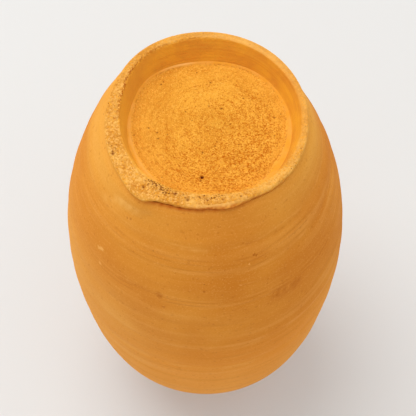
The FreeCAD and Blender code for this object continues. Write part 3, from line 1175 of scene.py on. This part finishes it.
def terracotta_finish():
    """Bare fired clay, drawn out in faint bands by the wheel, with a few grit specks."""
    clay = Finish("terracotta_clay", Specular_IOR_Level=0.15, Diffuse_Roughness=0.6)
    mottle = clay.cloud(24, 3)
    bands = clay.cloud(3.2, 1, stretch=(0.08, 0.08, 1))
    lines = clay.cloud(0.8, 2, stretch=(0.12, 0.12, 1))
    grain = clay.cloud(0.42, 2)
    sand = clay.grains(0.55)
    clay.colour = clay.tint(clay.span(mottle, 0.35, 0.68), DEEP_CLAY, CLAY)
    # Painted light: warmer and brighter up the belly and on to the neck, as if lit from the front.
    clay.wash(WARM_CLAY, clay.along("Z"), 42, 82, 0.5)
    clay.wash(DUSTY_CLAY, bands, 0.52, 0.74, 0.24)
    clay.wash(DEEP_CLAY, bands, 0.46, 0.3, 0.33)
    waver = clay.span(clay.cloud(26, 1), 0.3, 0.7, -0.7, 0.7)
    level = clay.reckon("ADD", clay.along("Z"), waver)
    broken = clay.span(clay.cloud(11, 2), 0.4, 0.6)
    for height, width, pale in STRIPES:
        line = clay.times(clay.stripe(level, height, width), broken)
        clay.lay(DUSTY_CLAY if pale > 0 else GRIT_CLAY, clay.times(line, abs(pale)))
    # Painted light: paler and yellower round the foot, least in front, and down the lit side.
    clay.stain(SUNNY_CLAY, "sun")
    # Dust, and low on the lit left side also painted light.
    clay.stain(DUSTY_CLAY, "dust")
    clay.wash(DUSTY_CLAY, lines, 0.54, 0.76, 0.2)
    clay.wash(DEEP_CLAY, grain, 0.47, 0.25, 0.4)
    clay.wash(DUSTY_CLAY, grain, 0.53, 0.75, 0.4)
    clay.wash(GRIT_CLAY, sand, 0.03, 0.01, 0.25)
    clay.wash(GRIT_CLAY, clay.mask("mark"), 0, 1, 0.7)
    # Pale marks, among them two streaks of painted highlight beside the lip's bulge.
    clay.wash(PALE_GRAIN, clay.mask("mark"), 0, -1, 0.7)
    ragged = clay.ragged(0.7, 0.9)
    for angle, height, size, pale in DABS:
        dab = clay.near(ragged, on_belly(angle, height), size)
        clay.lay(PALE_GRAIN if pale > 0 else GRIT_CLAY, clay.times(dab, abs(pale)))
    clay.lay(BROWN_GRIT, clay.times(clay.specks(3.1, 0.22, 0.07), 0.35))
    clay.stain(FACE_PALE, "scuff", 0.55)
    # Reddish brown along the groove at the foot: dirt, and painted shade in the crevice.
    clay.stain(RUST, "soil", 0.9)
    normal = clay.bump(grain, 0.07, clay.bump(lines, 0.03, clay.bump(bands, 0.03)))
    return clay.done(clay.span(mottle, 0.3, 0.7, 0.95, 0.85), normal)


def floor_finish():
    """Open gritty clay: turning marks round the nub, torn pits and loose dark grains."""
    clay = Finish("grogged_floor_clay", Specular_IOR_Level=0.1, Diffuse_Roughness=0.6)
    mottle = clay.cloud(7, 4)
    grain = clay.cloud(0.55, 3)
    fine = clay.cloud(0.26, 2)
    turned = clay.noise(clay.around(NUB_CENTRE, 2, 0.95), 3)
    combed = clay.noise(clay.around(NUB_CENTRE, 1.2 * GRIT_ROUND, 0.3), 2)
    sand = clay.grains(0.3)
    clay.colour = clay.tint(clay.span(mottle, 0.35, 0.65, 0.6, 1), FLOOR_DEEP, FLOOR_CLAY)
    clay.wash(FLOOR_DEEP, turned, 0.52, 0.32, 0.3)
    clay.wash(FACE_CLAY, turned, 0.55, 0.75, 0.2)
    clay.wash(FLOOR_DEEP, grain, 0.52, 0.34, 0.5)
    clay.wash(FLOOR_DEEP, fine, 0.48, 0.3, 0.6)
    clay.wash(FLOOR_PALE, fine, 0.52, 0.7, 0.5)
    clay.wash(FACE_CLAY, clay.along("X"), 3, 15, 0.2)
    grit = clay.mask("grit")
    rings = clay.span(turned, 0.35, 0.65, -0.045, 0.065)
    thick = clay.reckon("ADD", clay.reckon("SUBTRACT", combed, clay.times(grit, 0.1)), rings)
    clay.lay(FLOOR_GRIT, clay.times(clay.span(grit, 0, 0.6, 0.4, 1), clay.span(thick, 0.43, 0.3, 0, 0.74)))
    loose = clay.reckon("SUBTRACT", sand, clay.times(clay.times(grit, grit), 0.3))
    clay.wash(FLOOR_GRIT, loose, 0.03, -0.08, 0.72)
    clay.wash(FLOOR_PALE, sand, 0.75, 1, 0.55)
    clay.stain(FLOOR_CLAY, "nub", 0.3)
    clay.stain(GRIT_CLAY, "torn", 0.4)
    clay.wash(BROWN_GRIT, clay.mask("pit"), 0.1, 0.6, 0.62)
    clay.wash(PORE_BROWN, clay.mask("pit"), 0.65, 0.95)
    normal = clay.bump(fine, 0.09, clay.bump(combed, 0.1, clay.bump(grain, 0.15)))
    return clay.done(0.92, normal)


def foot_finish():
    """The ring's clay: pale and scuffed on the face, deeper orange up the recess's turned wall."""
    clay = Finish("foot_ring_clay", Specular_IOR_Level=0.12, Diffuse_Roughness=0.5)
    mottle = clay.cloud(6, 3)
    grain = clay.cloud(0.55, 3)
    fine = clay.cloud(0.25, 2)
    marks = clay.cloud(0.6, 2, stretch=(0.04, 0.04, 1))
    combed = clay.noise(clay.around((0, 0), 7, 0.42), 2)
    sand = clay.grains(0.38)
    clay.colour = clay.tint(clay.span(mottle, 0.3, 0.7), CLAY, RECESS_CLAY)
    clay.wash(FLOOR_CLAY, marks, 0.5, 0.75, 0.3)
    clay.wash(DEEP_CLAY, marks, 0.48, 0.3, 0.3)
    # Painted light: the recess's wall is painted paler towards +X, on the left, where the lamp leaves it in
    # shade.
    clay.wash(FLOOR_CLAY, clay.along("X"), 4, 18, 0.38)
    wall = clay.colour
    clay.colour = clay.tint(clay.span(mottle, 0.35, 0.7), FACE_CLAY, FACE_PALE)
    clay.wash(RECESS_CLAY, grain, 0.5, 0.3)
    clay.wash(DEEP_CLAY, grain, 0.36, 0.26, 0.7)
    clay.wash(FACE_PALE, fine, 0.56, 0.7, 0.6)
    coarse = clay.mask("coarse")
    clay.lay(PALE_GRAIN, clay.times(coarse, clay.span(sand, 0.55, 0.95, 0, 0.55)))
    clay.lay(GRIT_CLAY, clay.times(coarse, clay.span(sand, 0.25, 0.05, 0, 0.36)))
    scuff = clay.mask("scuff")
    clay.colour = clay.tint(scuff, wall, clay.colour)
    loose = clay.times(clay.specks(1.3, 0.15, 0.4), scuff)
    clay.lay(BROWN_GRIT, clay.times(loose, 0.75))
    ragged = clay.times(clay.mask("torn"), clay.span(sand, 0.5, 0.3))
    clay.lay(GRIT_CLAY, clay.times(ragged, 0.9))
    # Painted highlight on the lip's rounded edge.
    clay.stain(PALE_GRAIN, "worn", 0.7)
    soil = clay.mask("soil")
    clay.lay(DARK_SOIL, clay.times(soil, clay.span(fine, 0.55, 0.36, 0, 0.6)))
    caught = clay.reckon("SUBTRACT", clay.grains(0.35), clay.times(soil, 0.55))
    clay.wash(DARK_SOIL, caught, 0, -0.15, 0.9)
    clay.stain(BROWN_GRIT, "pit", 0.85)
    # Reddish brown on the lip's top edge: dirt, and painted shade next to the groove.
    clay.stain(RUST, "rust", 0.85)
    face_bump = clay.bump(combed, 0.06, clay.bump(grain, 0.12, clay.bump(marks, 0.04)))
    normal = clay.bump(sand, 0.03, clay.bump(fine, 0.06, face_bump))
    return clay.done(clay.span(mottle, 0.3, 0.7, 0.9, 0.72), normal)


def slip_finish(name, deep, pale):
    """Fine slip, smoother than the clay that it joins."""
    slip = Finish(name, Specular_IOR_Level=0.2, Diffuse_Roughness=0.4)
    mottle = slip.cloud(3, 3)
    grain = slip.cloud(0.35, 2)
    slip.colour = slip.tint(slip.span(mottle, 0.35, 0.65), deep, pale)
    slip.wash(DEEP_CLAY, grain, 0.45, 0.25, 0.3)
    slip.stain(FLOOR_CLAY, "edge", 0.6)
    slip.stain(GRIT_CLAY, "edge", slip.span(slip.grains(0.36), 0.45, 0.2, 0, 0.5))
    # Reddish brown in the open groove: dirt, and painted shade in the crevice.
    slip.stain(RUST, "soil")
    # Painted highlight on the bead's crest.
    slip.stain(PALE_GRAIN, "worn", 0.7)
    return slip.done(slip.span(mottle, 0.3, 0.7, 0.82, 0.66), slip.bump(grain, 0.04))


def glaze_finish():
    """Clear honey glaze, darker where it lies thick, with fine runs and pinholes."""
    glaze = Finish("honey_glaze", Coat_Weight=0.4, Coat_Roughness=0.06)
    pooled = glaze.cloud(9, 3)
    runs = glaze.cloud(1.6, 2, stretch=(1, 1, 0.15))
    pinholes = glaze.specks(2.2, 0.16, 0.25)
    glaze.colour = glaze.tint(glaze.span(pooled, 0.35, 0.7), HONEY, DARK_HONEY)
    glaze.wash(CLAY, runs, 0.5, 0.75, 0.5)
    glaze.lay(DARK_HONEY, pinholes)
    normal = glaze.bump(runs, 0.06, glaze.bump(pinholes, -0.08))
    return glaze.done(glaze.span(pooled, 0.3, 0.7, 0.12, 0.24), normal)


# The stage: one floor under the foot, and one under the mouth that shows only from below. The floors'
# width and fade, and the lamps, are in metres.

FLOOR_GAP = 0.1
FLOOR_SIZE = 2.0
FLOOR_EDGE_STEPS = 96
FLOOR_FADE = (0.15, 0.7)
FLOOR_WHITE = (0.7, 0.695, 0.68, 1)
SHEET_COUNT_LIMIT = 1.5


def floor_paint(name, seen_from_below):
    """Pale paint on the side that faces the vase, clear from the other side and out towards the edge.

    A line of sight from below goes through the two sheets under the foot and is counted through both,
    so that count tells which floor it should meet.
    """
    coat = Finish(name)
    coat.tree.nodes.remove(coat.shader)
    sight = coat.add("LightPath", {})["Transparent Depth"]
    counted = coat.reckon("GREATER_THAN" if seen_from_below else "LESS_THAN", sight, SHEET_COUNT_LIMIT)
    back = coat.add("NewGeometry", {})["Backfacing"]
    shown = coat.times(counted, coat.reckon("SUBTRACT", 1, back))
    away = coat.vector("LENGTH", {0: coat.spot}, "Value")
    shown = coat.times(shown, coat.span(away, *FLOOR_FADE, 1, 0))
    clear = coat.add("BsdfTransparent", {})[0]
    matt = coat.add("BsdfDiffuse", {"Color": FLOOR_WHITE})[0]
    mixed = coat.add("MixShader", {0: shown, 1: clear, 2: matt})[0]
    coat.feed(coat.tree.nodes["Material Output"], {"Surface": mixed})
    return coat.material


def floor_sheet(name, height, finish, faces_up):
    bpy.ops.object.select_all(action="DESELECT")
    bpy.ops.mesh.primitive_circle_add(
        vertices=FLOOR_EDGE_STEPS,
        radius=FLOOR_SIZE,
        fill_type="NGON",
        location=(0, 0, height * MM),
    )
    sheet = bpy.context.object
    sheet.name = name
    if not faces_up:
        edit_all()
        bpy.ops.mesh.flip_normals()
        bpy.ops.object.mode_set(mode="OBJECT")
    sheet.data.materials.append(finish)


def lay_floors():
    stand = floor_paint("stand_floor_paint", False)
    floor_sheet("stand_floor_top", -FLOOR_GAP, stand, True)
    floor_sheet("stand_floor_under", -2 * FLOOR_GAP, stand, True)
    floor_sheet("mouth_floor", MOUTH + FLOOR_GAP, floor_paint("mouth_floor_paint", True), False)


# Light and camera

ROOM_LIGHT = 0.86
LAMPS = {
    # name: where it is, what it points at, how wide it is and its power in watts
    "lamp_over_mouth": ((-0.6, -0.5, 0.9), (0, 0, 0.07), 0.5, 5),
    "lamp_under_foot": ((0.2, 0.14, -0.78), (0, 0, 0.05), 0.6, 4.0),
}
PHOTO_SIZE = 416
FOCAL_LENGTH = 1400
SENSOR = 36
TILT = radians(63.09)
CAMERA_BACK = 340.41
CAMERA_UP = 21.97
CAMERA_ASIDE = 0.83
NEAREST_SEEN = 10


def light_room():
    world = bpy.data.worlds.new("soft_room")
    bpy.context.scene.world = world
    world.use_nodes = True
    room = world.node_tree.nodes["Background"]
    room.inputs["Color"].default_value = (1, 1, 1, 1)
    room.inputs["Strength"].default_value = ROOM_LIGHT
    for name, (place, aim, width, power) in LAMPS.items():
        bpy.ops.object.light_add(type="AREA", location=place)
        lamp = bpy.context.object
        lamp.name = name
        lamp.data.shape = "DISK"
        lamp.data.size = width
        lamp.data.energy = power
        lamp.rotation_euler = (Vector(aim) - Vector(place)).to_track_quat("-Z", "Y").to_euler()


def set_camera():
    """Looks up at the foot from below and in front, with the foot's far side at the top of the picture."""
    forward = Vector((0, cos(TILT), sin(TILT)))
    upward = Vector((0, sin(TILT), -cos(TILT)))
    aside = forward.cross(upward)
    bpy.ops.object.camera_add()
    camera = bpy.context.object
    camera.data.sensor_width = SENSOR
    camera.data.lens = FOCAL_LENGTH * SENSOR / PHOTO_SIZE
    camera.data.clip_start = NEAREST_SEEN * MM
    camera.matrix_world = Matrix((aside, upward, -forward)).transposed().to_4x4()
    camera.location = MM * (CAMERA_ASIDE * aside - CAMERA_UP * upward - CAMERA_BACK * forward)
    bpy.context.scene.camera = camera


terracotta = terracotta_finish()
finished(make_body(), "body_wall", terracotta)
finished(make_neck(), "neck_collar", terracotta)
finished(make_floor(), "base_disc", floor_finish())
finished(make_foot(), "foot_ring", foot_finish())
finished(make_slip_bead(), "foot_slip", slip_finish("bead_slip", RECESS_CLAY, SLIP_CLAY))
finished(make_neck_seam(), "neck_slip", slip_finish("seam_slip", SEAM_CLAY, SEAM_PALE))
finished(make_glaze(), "glaze_lining", glaze_finish())
lay_floors()
light_room()
set_camera()
bpy.context.scene.view_settings.view_transform = "Standard"
